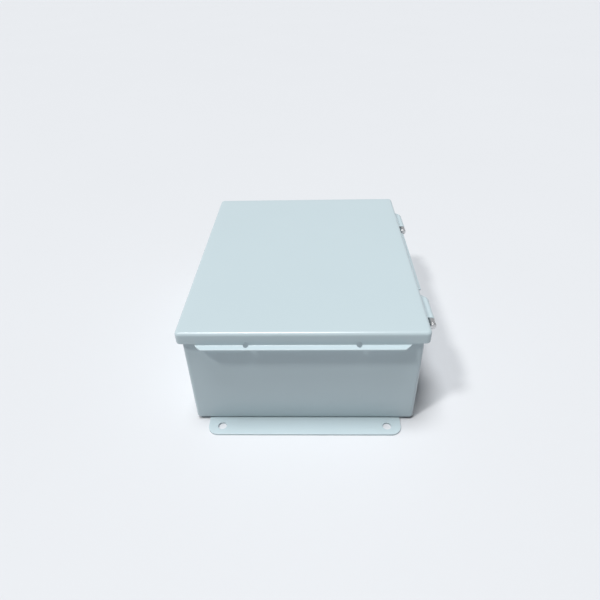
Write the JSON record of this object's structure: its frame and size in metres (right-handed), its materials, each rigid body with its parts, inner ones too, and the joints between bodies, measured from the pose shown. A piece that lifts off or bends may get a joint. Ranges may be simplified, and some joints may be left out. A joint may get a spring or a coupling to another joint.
{
  "type": "electrical junction box",
  "caption": "Rectangular painted steel junction box with a gasketed lift-off hinged and flanged lid, end mounting feet and an inner back panel.",
  "frame": {"origin": "on the mounting plane (underside of the feet), under the middle of the assembly's bounding box", "axes": "+Z from the mounting plane to the lid, +X across the box towards the hinges, +Y along the box to its rear end"},
  "size_m": [0.2214, 0.2922, 0.1082],
  "materials": {
    "box_paint": "smooth semi-gloss pale grey-green paint",
    "panel_paint": "smooth satin white paint",
    "zinc_plate": "satin zinc plating",
    "brass": "machined brass",
    "hinge_steel": "bare satin steel",
    "gasket_rubber": "matt closed-cell foam rubber"
  },
  "bodies": {
    "case": {"body_shell": "box_paint", "mounting_foot_front": "box_paint", "mounting_foot_rear": "box_paint", "back_panel": "panel_paint", "panel_stud_1": "zinc_plate", "panel_stud_2": "zinc_plate", "panel_stud_3": "zinc_plate", "panel_stud_4": "zinc_plate", "panel_washer_1": "zinc_plate", "panel_washer_2": "zinc_plate", "panel_washer_3": "zinc_plate", "panel_washer_4": "zinc_plate", "panel_nut_1": "zinc_plate", "panel_nut_2": "zinc_plate", "panel_nut_3": "zinc_plate", "panel_nut_4": "zinc_plate", "ground_stud": "brass", "ground_washer": "brass", "ground_nut": "brass", "hinge_body_leaf_front": "hinge_steel", "hinge_body_leaf_rear": "hinge_steel", "hinge_pin_front": "hinge_steel", "hinge_pin_rear": "hinge_steel"},
    "lid": {"lid": "box_paint", "lid_gasket": "gasket_rubber", "hinge_lid_leaf_front": "box_paint", "hinge_lid_leaf_rear": "box_paint", "lid_bond_stud": "brass", "lid_bond_washer": "brass", "lid_bond_nut": "brass"}
  },
  "joints": [
    {"name": "lid_hinge", "type": "hinge", "parent": "case", "child": "lid", "pos_m": [0.10735, 0, 0.0934], "axis": [0, 1, 0], "range_deg": [0, 180]}
  ]
}
